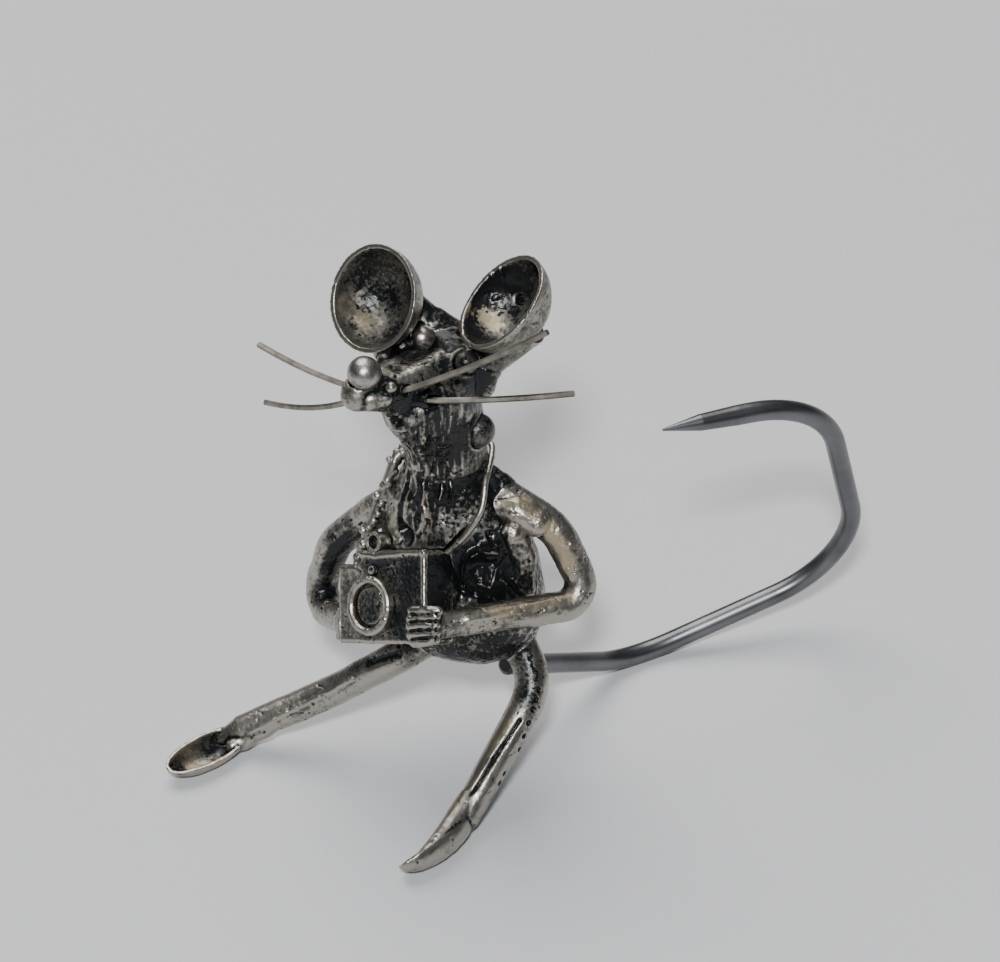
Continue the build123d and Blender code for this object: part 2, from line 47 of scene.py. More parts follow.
def noise(points, size, seed):
    """Smooth random values from -1 to 1 over the points, in grains of a size."""
    cell = points / size + seed * 17.31
    low = np.floor(cell).astype(np.int64)
    part = cell - low
    part = part * part * (3 - 2 * part)
    scramble = np.array([73856093, 19349663, 83492791])
    word, half_word = 0x7FFFFFFF, 0x3FFFFFFF
    value = np.zeros(len(points))
    for corner in range(8):
        step = np.array([corner & 1, corner >> 1 & 1, corner >> 2 & 1])
        key = (low + step) @ scramble & word
        key = (key ^ key >> 13) * 1274126177 & word
        key = (key ^ key >> 15) * 974634777 & word
        weight = np.prod(np.where(step, part, 1 - part), axis=1)
        value += weight * (key / half_word - 1)
    return value


def rough(points, size, seed):
    """Noise with finer grains laid over the coarse ones."""
    return (
        noise(points, size, seed)
        + 0.5 * noise(points, size / 2.1, seed + 1)
        + 0.25 * noise(points, size / 4.3, seed + 2)
    )


def evened(body, cell, easing):
    """The body's plain mesh, recast in even cells with its edges eased; the body goes."""
    cells = body.modifiers.new("cells", "REMESH")
    cells.mode = "VOXEL"
    cells.voxel_size = cell
    eased = body.modifiers.new("eased", "SMOOTH")
    eased.factor = 0.5
    eased.iterations = easing
    depsgraph = bpy.context.evaluated_depsgraph_get()
    finished = bpy.data.meshes.new_from_object(body.evaluated_get(depsgraph))
    bpy.data.objects.remove(body)
    return finished


def blank(node, cell, easing, added=()):
    """The node's form, with blobs of solder added along lines of (x, y, z, radius)."""
    weld_reach, blob_spacing = 0.0008, 0.3
    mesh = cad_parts[node].data.copy()
    mesh.transform(Matrix.Scale(millimetres, 4))
    form = bmesh.new()
    form.from_mesh(mesh)
    bmesh.ops.remove_doubles(form, verts=form.verts, dist=weld_reach)
    for line in added:
        line = np.array(line, float)
        for start, end in zip(line, line[1:]):
            length = np.linalg.norm(end[:3] - start[:3])
            count = 1 + int(length / (blob_spacing * min(start[3], end[3])))
            for step in range(count + 1):
                x, y, z, radius = start + (end - start) * step / count
                bmesh.ops.create_icosphere(
                    form, subdivisions=3, radius=radius, matrix=Matrix.Translation((x, y, z))
                )
    form.to_mesh(mesh)
    form.free()
    body = bpy.data.objects.new(node + "_blank", mesh)
    scene.collection.objects.link(body)
    return evened(body, cell, easing)


def points_of(mesh):
    """The mesh's points as rows of x, y, z."""
    flat = np.zeros(len(mesh.vertices) * 3, np.float32)
    mesh.vertices.foreach_get("co", flat)
    return flat.reshape(-1, 3).astype(float)


def outward_of(mesh):
    """The direction that faces outwards at every point of the mesh."""
    flat = np.zeros(len(mesh.vertices) * 3, np.float32)
    mesh.vertex_normals.foreach_get("vector", flat)
    return flat.reshape(-1, 3)


def lift(mesh, heights):
    """Moves every point outwards by its height."""
    moved = points_of(mesh) + outward_of(mesh) * heights[:, None]
    mesh.vertices.foreach_set("co", moved.astype(np.float32).ravel())
    mesh.update()


def away(points, line):
    """Distance of every point from a line of (x, y, z) stops."""
    line = np.array(line, float)
    if len(line) == 1:
        return np.linalg.norm(points - line[0], axis=1)
    nearest = np.full(len(points), np.inf)
    for start, end in zip(line, line[1:]):
        run = end - start
        share = np.clip((points - start) @ run / (run @ run), 0, 1)
        gap = np.linalg.norm(points - start - share[:, None] * run, axis=1)
        nearest = np.minimum(nearest, gap)
    return nearest


def drawn(points, lines):
    """Heights of ridges, or of grooves below zero, each given as (height, half width, stops)."""
    heights = np.zeros(len(points))
    for tall, wide, line in lines:
        heights += tall * np.exp(-((away(points, line) / wide) ** 2))
    return heights


def relief(mesh, rounds):
    """How far each point stands out from the surface round it, hollows below zero."""
    ends = np.zeros(len(mesh.edges) * 2, np.int32)
    mesh.edges.foreach_get("vertices", ends)
    one, two = ends.reshape(-1, 2).T
    start = points_of(mesh)
    size = len(start)
    smooth = start.copy()
    count = np.bincount(ends, minlength=size)[:, None]
    for _ in range(rounds):
        total = [
            np.bincount(one, smooth[two, k], size) + np.bincount(two, smooth[one, k], size)
            for k in range(3)
        ]
        smooth = np.stack(total, axis=1) / count
    return ((start - smooth) * outward_of(mesh)).sum(axis=1)


def neighbours(*nodes):
    """The surfaces of the pieces that this one is soldered to, to measure nearness to them."""
    trees = []
    for node in nodes:
        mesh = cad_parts[node].data
        corners = [v.co * millimetres for v in mesh.vertices]
        trees.append(BVHTree.FromPolygons(corners, [tuple(p.vertices) for p in mesh.polygons]))
    return trees


def nearness(mesh, trees, reach):
    """For every point, one on the neighbours' surfaces, falling to zero at the reach."""
    points = points_of(mesh)
    near = np.zeros(len(points))
    for row, point in enumerate(points):
        for tree in trees:
            place, _, _, gap = tree.find_nearest(point, reach)
            if place is not None:
                near[row] = max(near[row], 1 - gap / reach)
    return near


def write(mesh, name, values):
    """Keeps a value for every point of the mesh, for its finish to read."""
    kept = mesh.attributes.new(name, "FLOAT", "POINT")
    kept.data.foreach_set("value", np.clip(values, 0, 1).astype(np.float32))


def patina_and_painted_light_group():
    """Glossy black that stays in hollows, seams and patches, with painted shade where marked, over
    dull and rubbed metal that is golden in places and carries painted highlights.
    """
    group = bpy.data.node_groups.new("rubbed_patina_and_painted_light", "ShaderNodeTree")
    for name in ("Hollow", "Seam", "Patina_and_shade", "Gold_and_highlight", "Darkness", "Patch size"):
        group.interface.new_socket(name, in_out="INPUT", socket_type="NodeSocketFloat")
    for name in ("Metal", "Golden_and_highlight_tone", "Dulled", "Black"):
        group.interface.new_socket(name, in_out="INPUT", socket_type="NodeSocketColor")
    group.interface.new_socket("Colour", in_out="OUTPUT", socket_type="NodeSocketColor")
    for name in ("Roughness", "Metallic", "Height"):
        group.interface.new_socket(name, in_out="OUTPUT", socket_type="NodeSocketFloat")
    nodes, links = group.nodes, group.links
    given, out = nodes.new("NodeGroupInput").outputs, nodes.new("NodeGroupOutput").inputs
    place = nodes.new("ShaderNodeTexCoord")

    def feed(socket, value):
        """Sets a socket to a number, or links it to another node's output."""
        if isinstance(value, (int, float)):
            socket.default_value = value
        else:
            links.new(value, socket)

    def grain(scale, detail, roughness):
        """Noise from 0 to 1 over the metal."""
        made = nodes.new("ShaderNodeTexNoise")
        made.inputs["Detail"].default_value = detail
        made.inputs["Roughness"].default_value = roughness
        links.new(place.outputs["Object"], made.inputs["Vector"])
        feed(made.inputs["Scale"], scale)
        return made.outputs["Fac"]

    def reckon(kind, first, second):
        """The outcome of one sum on two values."""
        made = nodes.new("ShaderNodeMath")
        made.operation = kind
        feed(made.inputs[0], first)
        feed(made.inputs[1], second)
        return made.outputs[0]

    def plus(first, second):
        return reckon("ADD", first, second)

    def minus(first, second):
        return reckon("SUBTRACT", first, second)

    def times(first, second):
        return reckon("MULTIPLY", first, second)

    def swing(value, gain):
        """A value from 0 to 1, moved to swing both ways round zero."""
        return times(minus(value, 0.5), gain)

    def ramp(value, low, high):
        """Zero below the low value and one above the high one, with a soft step between."""
        made = nodes.new("ShaderNodeMapRange")
        made.interpolation_type = "SMOOTHSTEP"
        made.inputs["From Min"].default_value = low
        made.inputs["From Max"].default_value = high
        links.new(value, made.inputs["Value"])
        return made.outputs["Result"]

    def blend(mask, first, second):
        """The first colour, or the second where the mask is one."""
        made = nodes.new("ShaderNodeMix")
        made.data_type = "RGBA"
        links.new(mask, made.inputs["Factor"])
        links.new(first, made.inputs[6])
        links.new(second, made.inputs[7])
        return made.outputs[2]

    patches = grain(given["Patch size"], detail=5, roughness=0.62)
    specks = grain(4300, detail=4, roughness=0.75)
    clouds = grain(800, detail=3, roughness=0.6)

    hollow_pull, seam_pull, patina_and_shade_pull = 3.2, 0.8, 1.5
    patch_swing, speck_swing, cloud_swing = 3.0, 2.2, 1.2
    dark = swing(given["Hollow"], hollow_pull)
    dark = plus(dark, times(given["Seam"], seam_pull))
    # Painted shade from the marks darkens the metal beside the black patina of hollows and seams;
    # gold and painted highlights lighten it.
    dark = plus(dark, times(given["Patina_and_shade"], patina_and_shade_pull))
    dark = minus(dark, given["Gold_and_highlight"])
    dark = plus(dark, swing(patches, patch_swing))
    dark = plus(dark, swing(specks, speck_swing))
    dark = plus(dark, given["Darkness"])
    black = ramp(dark, low=0.45, high=0.85)
    dull = ramp(dark, low=-0.5, high=0.5)
    # Golden tone, with the warm colour of painted highlights where marked.
    warm = ramp(plus(given["Gold_and_highlight"], swing(clouds, cloud_swing)), low=0.15, high=0.8)
    colour = blend(dull, given["Metal"], given["Dulled"])
    colour = blend(warm, colour, given["Golden_and_highlight_tone"])
    links.new(blend(black, colour, given["Black"]), out["Colour"])

    polish, cloud_haze, dull_haze, warm_haze, black_gloss = 0.2, 0.25, 0.14, 0.1, 0.24
    roughness = plus(polish, times(clouds, cloud_haze))
    roughness = plus(roughness, times(dull, dull_haze))
    roughness = plus(roughness, times(warm, warm_haze))
    roughness = minus(roughness, times(black, black_gloss))
    links.new(roughness, out["Roughness"])
    metal_hidden = 0.9
    links.new(minus(1.0, times(black, metal_hidden)), out["Metallic"])
    height = plus(times(specks, 0.45), times(clouds, 0.55))
    links.new(height, out["Height"])
    return group


def antique(name, darkness, patch_size, metal=(0.4, 0.375, 0.325, 1)):
    """A pewter finish, more or less blackened, with painted shade and painted highlights where the
    marks say.
    """
    finish = bpy.data.materials.new(name)
    finish.use_nodes = True
    nodes, links = finish.node_tree.nodes, finish.node_tree.links
    surface = nodes["Principled BSDF"]
    surface.inputs["Specular IOR Level"].default_value = 0.32
    patina_and_painted_light = nodes.new("ShaderNodeGroup")
    patina_and_painted_light.node_tree = patina_and_painted_light_tree
    for kept in ("hollow", "seam", "patina_and_shade", "gold_and_highlight"):
        read = nodes.new("ShaderNodeAttribute")
        read.attribute_name = kept
        links.new(read.outputs["Fac"], patina_and_painted_light.inputs[kept.capitalize()])
    for socket, value in (
        ("Darkness", darkness),
        ("Patch size", patch_size),
        ("Metal", metal),
        ("Golden_and_highlight_tone", (0.46, 0.39, 0.275, 1)),
        ("Dulled", (0.13, 0.127, 0.112, 1)),
        ("Black", (0.006, 0.0065, 0.007, 1)),
    ):
        patina_and_painted_light.inputs[socket].default_value = value
    bump = nodes.new("ShaderNodeBump")
    bump.inputs["Distance"].default_value = 0.00006
    bump.inputs["Strength"].default_value = 0.75
    links.new(patina_and_painted_light.outputs["Height"], bump.inputs["Height"])
    links.new(bump.outputs["Normal"], surface.inputs["Normal"])
    links.new(patina_and_painted_light.outputs["Colour"], surface.inputs["Base Color"])
    links.new(patina_and_painted_light.outputs["Roughness"], surface.inputs["Roughness"])
    links.new(patina_and_painted_light.outputs["Metallic"], surface.inputs["Metallic"])
    return finish


def place_piece(node, mesh, finish):
    """Sets a finished mesh in its place in the figurine, where it stands for its node."""
    mesh.transform(Matrix.Scale(1 / millimetres, 4))
    mesh.polygons.foreach_set("use_smooth", [True] * len(mesh.polygons))
    mesh.materials.clear()
    mesh.materials.append(finish)
    piece = bpy.data.objects.new(node + "_cast", mesh)
    scene.collection.objects.link(piece)
    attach(piece, "root")
    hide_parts(node)


def solder(mesh, near, bead):
    """Draws the surface up to its neighbours in a thin fillet of solder."""
    lift(mesh, bead * near**2)


def weather(mesh, seed, dents, pits):
    """Uneven casting: broad dents, small pits that are sparse and sharp, and a grainy skin."""
    dent_size, pit_size, skin_size = 1.3, 0.34, 0.16
    pit_threshold, pit_gain, skin_share = 0.55, 1.6, 0.15
    at = points_of(mesh)
    dented = dents * (rough(at, dent_size, seed) - 1) * 0.5
    pitted = pits * np.clip(rough(at, pit_size, seed + 5) - pit_threshold, 0, 1) * pit_gain
    lift(mesh, dented - pitted + pits * skin_share * noise(at, skin_size, seed + 9))


def keep_marks(mesh, near, patina_and_shade=(), gold_and_highlight=()):
    """Stores where black stays, in hollows, seams and patches, where shade is painted, where the
    metal is golden and where a highlight is painted.
    """
    near_rounds, far_rounds, contrast = 5, 30, 10
    depth = relief(mesh, near_rounds) + 0.5 * relief(mesh, far_rounds)
    write(mesh, "hollow", 0.5 - depth * contrast)
    write(mesh, "seam", near)
    write(mesh, "patina_and_shade", drawn(points_of(mesh), patina_and_shade))
    write(mesh, "gold_and_highlight", drawn(points_of(mesh), gold_and_highlight))


patina_and_painted_light_tree = patina_and_painted_light_group()
neck_x, neck_y, neck_radius = -1.8, -4.37, 2.05
neck_ring = [
    (neck_x + neck_radius * np.cos(turn), neck_y + neck_radius * np.sin(turn))
    for turn in np.linspace(0, 2 * np.pi, 25)
]
collar = [(x, y, 21.1, 0.5) for x, y in neck_ring]
shoulder_web = [(0.2, -3.7, 20.8, 0.6), (0.8, -3.0, 19.9, 0.7), (1.3, -2.6, 19.2, 0.75)]
flank_plate = [(2.9, -3.4, 17.0, 0.9), (3.4, -3.2, 15.2, 1.0), (3.5, -3.4, 13.2, 1.0)]
torso_mesh = blank("torso", cell=0.085, easing=3, added=[shoulder_web, flank_plate, collar])
around = neighbours("arm_left", "arm_right", "leg_left", "leg_right", "camera_body", "tail_hook")
torso_near = nearness(torso_mesh, around, reach=0.5)
solder(torso_mesh, torso_near, bead=0.12)

chest_folds = [
    (0.26, 0.16, [(-1.9, -6.9, 20.7), (-1.5, -7.0, 19.9), (-1.7, -7.4, 18.9)]),
    (0.24, 0.14, [(-1.9, -6.1, 20.9), (-1.1, -6.9, 20.3), (-0.9, -7.1, 19.2), (-0.5, -7.3, 18.4)]),
    (0.26, 0.13, [(-1.6, -5.9, 20.9), (-0.8, -6.7, 20.4), (-0.7, -7.0, 19.5), (-0.3, -7.2, 18.4)]),
    (0.3, 0.16, [(-0.6, -6.0, 20.9), (-0.1, -6.4, 20.2), (-0.1, -6.6, 19.6)]),
    (0.32, 0.13, [(-1.2, -4.9, 20.9), (-0.1, -5.8, 20.9), (0.3, -6.0, 20.2), (0.4, -6.3, 19.5)]),
    (-0.25, 0.2, [(-2.7, -6.8, 20.2), (-2.6, -7.3, 19.0), (-2.5, -7.9, 17.2)]),
    (-0.9, 0.5, [(-2.2, -8.0, 16.8), (-1.7, -8.1, 16.7)]),
]
curled_rim = [
    (2.0, -6.8, 15.1), (1.9, -6.7, 15.8), (2.0, -6.4, 16.3), (2.3, -5.8, 16.6), (2.9, -4.9, 16.3),
]
small_loop = [
    (2.0, -7.1, 14.4), (2.0, -7.0, 14.9), (2.2, -6.8, 14.8), (2.3, -6.9, 14.2), (2.0, -7.1, 14.4),
]
thin_web = [
    (2.3, -6.6, 15.0), (2.7, -6.2, 14.6), (3.2, -5.7, 14.2), (3.2, -5.2, 14.9), (3.2, -4.3, 16.1),
]
flank_folds = [
    (0.6, 0.17, curled_rim),
    (0.35, 0.14, small_loop),
    (0.16, 0.1, thin_web),
    (0.25, 0.1, [(3.5, -4.9, 14.5), (3.9, -4.4, 13.7), (4.2, -3.8, 12.8)]),
    (0.25, 0.1, [(3.5, -3.7, 15.4), (3.7, -3.4, 14.5), (3.9, -3.1, 13.8), (4.1, -3.1, 12.9)]),
    (-0.5, 0.6, [(2.6, -5.9, 15.6), (3.0, -5.3, 15.4)]),
    (0.4, 0.5, [(2.5, -7.2, 13.6)]),
]
blisters = [
    (1, 0.6, [(2.3, -5.2, 17.5), (2.9, -4.1, 17.2)]),
    (1, 0.6, [(-0.1, -4.9, 20.9)]),
    (1, 0.7, [(2.4, -6.8, 13.7)]),
]
# Black patina on the flank, and painted shade under the camera and the forearm and at the
# shoulder.
torso_patina_and_shade = [
    (0.8, 2.0, [(2.6, -5.9, 15.6), (3.2, -5.0, 14.0)]),
    (0.8, 1.6, [(0.6, -3.4, 21.0), (1.4, -2.8, 19.6)]),
    (0.6, 1.2, [(0.4, -5.2, 20.6)]),
    (0.7, 2.6, [(0.9, -8.1, 9.4), (3.9, -5.4, 9.2)]),
    (0.7, 0.7, [(-2.0, -8.1, 16.8)]),
    (0.7, 3.5, [(-2.0, 0.0, 11.0)]),
]
# Golden tone and painted highlights, on the curled rim, the chest folds and the left shoulder.
torso_gold_and_highlight = [
    (1.6, 0.17, curled_rim),
    (0.5, 0.8, [(-0.9, -7.1, 19.2), (-0.3, -7.2, 18.4)]),
    (0.8, 0.6, [(1.6, -2.4, 18.0), (2.6, -2.9, 18.0)]),
]
fur_height, web_height, blister_height = 0.13, 0.09, 0.14
hair_stretch = (1, 1, 0.16)
torso_at = points_of(torso_mesh)
chest = drawn(torso_at, [(1, 1.5, [(-1.4, -6.9, 20.6), (-1.2, -7.6, 18.2)])])
flank = drawn(torso_at, [(1, 2.2, [(3.0, -5.0, 15.5), (3.6, -3.6, 13.6)])])
fur = rough(torso_at * hair_stretch, 0.36, 3)
web = np.clip(1 - 3 * np.abs(noise(torso_at, 0.8, 8)), 0, 1)
blistered = drawn(torso_at, blisters)
bubbles = noise(torso_at, 0.3, 12)
lift(
    torso_mesh,
    drawn(torso_at, chest_folds + flank_folds)
    + fur_height * chest * fur
    + web_height * flank * web
    + blister_height * blistered * bubbles,
)
weather(torso_mesh, seed=1, dents=0.14, pits=0.1)
keep_marks(torso_mesh, torso_near, torso_patina_and_shade, torso_gold_and_highlight)
torso_finish = antique("torso_pewter", darkness=0.56, patch_size=420)
place_piece("torso", torso_mesh, torso_finish)

# HEAD
# Skull, neck and muzzle in one pewter casting, with fur scratched into the neck and the cheeks.
# Its neck is soldered flat on the torso, and the seam is hidden under a collar of solder.
brow = [(-3.9, -5.6, 28.3, 0.75), (-3.6, -5.0, 28.2, 0.8), (-2.9, -4.4, 28.3, 0.9)]
under_ear = [(-4.6, -6.9, 28.2, 0.55), (-4.0, -6.6, 28.0, 0.8), (-3.3, -7.6, 28.4, 0.8)]
saddle = [
    (-4.3, -3.6, 28.4, 0.7), (-3.3, -3.3, 28.0, 0.85),
    (-2.4, -2.5, 28.3, 0.85), (-1.8, -2.2, 29.0, 0.7),
]
ear_flare = [(-1.9, -2.6, 28.8, 0.7), (-1.5, -2.9, 29.7, 0.55)]
left_flare = [(-0.6, -3.2, 28.4, 1.0), (0.2, -3.0, 27.6, 0.95), (0.1, -3.2, 26.4, 0.9)]
lower_lip = [(-2.3, -10.9, 28.5, 0.62), (-1.6, -10.7, 28.3, 0.75), (-1.1, -10.0, 28.3, 0.6)]
lip_drop = [(-0.95, -9.75, 29.0, 0.4), (-0.9, -9.7, 29.05, 0.4)]
neck_foot = [(x, y, 20.6, 0.5) for x, y in neck_ring]
head_lumps = [brow, under_ear, saddle, ear_flare, left_flare, lower_lip, lip_drop, neck_foot]
head_mesh = blank("head", cell=0.075, easing=3, added=head_lumps)
around = neighbours("ear_right", "ear_left", "nose", "eye_left", "nape_bead")
head_near = nearness(head_mesh, around, reach=0.4)
solder(head_mesh, head_near, bead=0.14)

head_folds = [
    (-0.75, 0.75, [(-2.3, -6.3, 29.3), (-2.5, -5.3, 29.4)]),
    (-0.35, 0.7, [(-1.9, -8.2, 29.4), (-2.0, -7.6, 29.4)]),
    (0.3, 0.3, [(-1.2, -9.0, 26.5), (-1.7, -9.0, 26.1), (-1.6, -8.9, 25.5), (-0.9, -8.8, 25.5)]),
    (-0.5, 0.32, [(-1.3, -8.9, 26.0)]),
    (-0.3, 0.8, [(-0.7, -9.0, 27.8), (0.1, -7.6, 27.6)]),
    (0.25, 0.5, [(0.3, -6.0, 26.6), (0.5, -5.0, 25.4)]),
    (0.22, 0.12, [(0.2, -7.0, 23.9), (0.8, -6.0, 23.7), (0.9, -5.0, 23.7)]),
    (0.2, 0.16, [(-1.2, -7.6, 23.0), (-1.6, -7.0, 21.0)]),
    (0.22, 0.14, [(-0.6, -7.4, 23.0), (-0.9, -6.8, 21.0)]),
    (0.22, 0.14, [(-0.1, -6.9, 22.6), (-0.4, -6.4, 21.0)]),
    (0.2, 0.14, [(0.2, -6.2, 22.4), (0.1, -5.8, 21.0)]),
]
# Black patina in the brow and saddle, and painted shade under the jaw and behind the head.
head_patina_and_shade = [
    (0.8, 1.3, [(-3.9, -5.9, 28.5), (-3.2, -4.6, 28.6), (-2.4, -2.8, 29.0)]),
    (0.6, 1.0, [(-0.7, -9.3, 27.9), (0.4, -7.6, 27.4)]),
    (0.7, 1.0, [(0.3, -4.2, 28.4), (0.5, -4.0, 26.8)]),
    (0.8, 1.2, [(0.5, -5.0, 24.2), (0.4, -6.6, 23.6)]),
    (0.6, 1.5, [(-2.9, -3.0, 25.0)]),
]
head_gold = [(0.5, 0.5, [(-0.4, -4.3, 29.0)]), (0.35, 0.9, [(-1.6, -7.6, 28.7)])]
mane_height = 0.14
head_at = points_of(head_mesh)
neck = np.clip(drawn(head_at, [(1, 2.4, [(-0.6, -7.2, 24.6), (-1.2, -7.2, 22.0)])]), 0, 1)
mane = rough(head_at * hair_stretch, 0.4, 14)
lift(head_mesh, drawn(head_at, head_folds) + mane_height * neck * mane)
weather(head_mesh, seed=11, dents=0.1, pits=0.06)
keep_marks(head_mesh, head_near, head_patina_and_shade, head_gold)
head_finish = antique("head_pewter", darkness=0.78, patch_size=520)
place_piece("head", head_mesh, head_finish)

# EARS
# Two cups of pewter, cast thin, dark inside and rubbed bright on their rims.
# Each is soldered to the skull by a short thick root.
small_curl = [(-0.9, -1.2, 31.2), (-0.6, -1.1, 31.5), (-0.3, -1.3, 31.2), (-0.6, -1.6, 30.9)]
# For each ear: its root, folds, black patina and painted shade, gold, and darkness
ear_marks = {
    "ear_right": (
        [(-3.0, -2.8, 27.8, 1.45), (-4.0, -3.3, 28.6, 1.3)],
        [(0.1, 0.5, [(-7.2, -6.1, 28.9), (-8.2, -6.6, 29.6)])],
        [
            (0.35, 1.1, [(-7.4, -4.4, 31.9), (-8.3, -5.3, 31.0)]),
            (0.8, 1.3, [(-3.6, -3.0, 31.6), (-3.9, -3.2, 29.4)]),
        ],
        [(0.6, 1.0, [(-7.0, -6.0, 29.2), (-8.4, -6.4, 29.6)])],
        0.25,
    ),
    "ear_left": (
        [(-0.9, -2.8, 27.6, 1.4), (-0.2, -2.4, 28.4, 1.25)],
        [
            (-0.6, 0.22, [(0.5, -0.4, 31.4)]),
            (0.18, 0.12, small_curl),
            (0.12, 0.1, [(-1.0, -0.6, 33.0), (-0.7, -0.6, 32.5)]),
            (0.16, 0.1, [(-1.3, -1.0, 32.6), (0.0, -0.6, 32.0)]),
        ],
        [
            (1.0, 0.8, [(-1.5, -1.6, 31.9), (-1.7, -2.2, 31.2)]),
            (0.7, 0.7, [(-0.8, -0.6, 32.6), (0.3, -0.3, 32.2)]),
            (0.8, 0.4, [(0.5, -0.4, 31.4)]),
            (0.8, 1.2, [(-1.2, -3.6, 29.6), (1.0, -4.4, 29.0)]),
        ],
        [(0.9, 0.8, [(-1.3, -2.4, 30.8), (-0.2, -2.0, 30.4)])],
        0.5,
    ),
}
for seed, (node, (root, folds, patina_and_shade, gold_and_highlight, darkness)) in enumerate(ear_marks.items(), 21):
    ear_mesh = blank(node, cell=0.07, easing=2, added=[root])
    ear_near = nearness(ear_mesh, neighbours("head"), reach=0.4)
    solder(ear_mesh, ear_near, bead=0.1)
    lift(ear_mesh, drawn(points_of(ear_mesh), folds))
    weather(ear_mesh, seed, dents=0.05, pits=0.04)
    keep_marks(ear_mesh, ear_near, patina_and_shade, gold_and_highlight)
    ear_finish = antique(node + "_pewter", darkness, patch_size=450)
    place_piece(node, ear_mesh, ear_finish)

# NOSE, EYES AND NAPE BEAD
# Drops of pewter melted into balls and pressed into drilled seats.
# The nose and the right eye are rubbed bright; the left eye and the bead stay black.
# For each drop: its cell, shift, darkness, metal and slot
drops = {
    "nose": (0.06, (0.12, 0.12, 0), 0.62, (0.43, 0.395, 0.365, 1), "pewter"),
    "eye_right": (0.05, (0.4, -0.4, 0.3), -0.4, (0.42, 0.38, 0.35, 1), "pewter"),
    "eye_left": (0.05, (0, 0, 0), 1.3, (0.43, 0.405, 0.355, 1), "dark_pewter"),
    "nape_bead": (0.06, (0, 0, 0), 1.2, (0.43, 0.405, 0.355, 1), "pewter"),
}
for seed, (node, (cell, shift, darkness, metal, slot)) in enumerate(drops.items(), 31):
    drop_mesh = blank(node, cell, easing=3)
    drop_mesh.transform(Matrix.Translation(shift))
    drop_near = nearness(drop_mesh, neighbours("head"), reach=0.2)
    weather(drop_mesh, seed, dents=0.04, pits=0.02)
    keep_marks(drop_mesh, drop_near)
    drop_finish = antique(node + "_pewter", darkness, patch_size=600, metal=metal)
    place_piece(node, drop_mesh, drop_finish)

# ARMS AND HANDS
# Thick bent rods of pewter, soldered into the shoulders.
# Their flattened ends are nicked into fingers, which hold the toy camera from both sides.
finger_rows = [
    [
        (1.62, -10.66, 14.35, 0.34), (2.26, -10.46, 14.55, 0.34),
        (2.86, -10.46, 14.9, 0.34), (3.4, -10.2, 15.0, 0.34),
    ],
    [
        (1.76, -10.86, 13.95, 0.34), (2.36, -10.66, 14.15, 0.34),
        (2.96, -10.66, 14.55, 0.34), (3.46, -10.46, 14.8, 0.36),
    ],
    [
        (1.96, -11.06, 13.55, 0.34), (2.66, -10.96, 13.95, 0.34),
        (3.26, -10.86, 14.25, 0.34), (3.66, -10.66, 14.35, 0.36),
    ],
    [
        (2.16, -11.26, 13.05, 0.34), (2.76, -11.16, 13.45, 0.34),
        (3.36, -11.06, 13.75, 0.34), (3.86, -10.86, 13.95, 0.36),
    ],
    [
        (2.46, -11.36, 12.75, 0.32), (2.96, -11.36, 13.05, 0.32),
        (3.56, -11.26, 13.35, 0.32), (4.0, -11.0, 13.6, 0.34),
    ],
]
groove_depth, groove_width, groove_shift = -0.15, 0.1, (0.14, -0.14, 0.15)
knuckles = []
for upper, lower in zip(finger_rows, finger_rows[1:]):
    groove = [
        [(one[k] + two[k]) / 2 + groove_shift[k] for k in range(3)]
        for one, two in zip(upper, lower)
    ]
    knuckles.append((groove_depth, groove_width, groove))
upper_arm = [(2.2, -3.2, 18.7), (2.9, -2.8, 18.7), (4.7, -2.1, 17.4), (6.2, -1.8, 15.4)]
inner_arm = [(-5.6, -9.0, 15.0), (-6.8, -9.0, 13.8), (-7.2, -9.2, 11.6), (-7.2, -9.4, 9.8)]
bicep = [(1.4, -3.6, 18.5, 0.6), (2.6, -2.9, 18.2, 0.95), (3.7, -2.2, 17.6, 1.0)]
# For each arm: lumps added, folds, black patina and painted shade, and gold with painted
# highlights along the tops
arm_marks = {
    "arm_left": (
        [bicep, *finger_rows],
        [*knuckles, (0.16, 0.3, [(7.0, -2.2, 14.0), (5.2, -6.9, 14.1), (4.6, -8.7, 14.3)])],
        # Painted shade under the hand and the forearm.
        [(0.5, 0.7, [(4.3, -9.8, 13.2)]), (0.7, 0.5, [(3.2, -5.0, 12.6), (5.6, -4.8, 12.4)])],
        # Painted highlights along the tops of the upper arm and the forearm.
        [
            (1.0, 0.6, upper_arm),
            (0.9, 0.55, [(6.9, -2.3, 14.0), (5.3, -6.9, 14.2)]),
        ],
    ),
    "arm_right": (
        [],
        [(0.12, 0.3, [(-6.3, -8.7, 15.2), (-7.4, -9.3, 13.4), (-8.0, -9.8, 11.0)])],
        # Black patina and painted shade along the inner side of the arm.
        [(1.1, 0.8, inner_arm)],
        [(0.3, 0.5, [(-7.9, -9.1, 13.6), (-8.5, -9.4, 11.5)])],
    ),
}
for seed, (node, (added, folds, patina_and_shade, gold_and_highlight)) in enumerate(arm_marks.items(), 41):
    arm_mesh = blank(node, cell=0.055, easing=2, added=added)
    arm_near = nearness(arm_mesh, neighbours("torso", "camera_body", "strap"), reach=0.4)
    solder(arm_mesh, arm_near, bead=0.08)
    lift(arm_mesh, drawn(points_of(arm_mesh), folds))
    weather(arm_mesh, seed, dents=0.1, pits=0.06)
    keep_marks(arm_mesh, arm_near, patina_and_shade, gold_and_highlight)
    arm_finish = antique(node + "_pewter", darkness=0.0, patch_size=380)
    place_piece(node, arm_mesh, arm_finish)

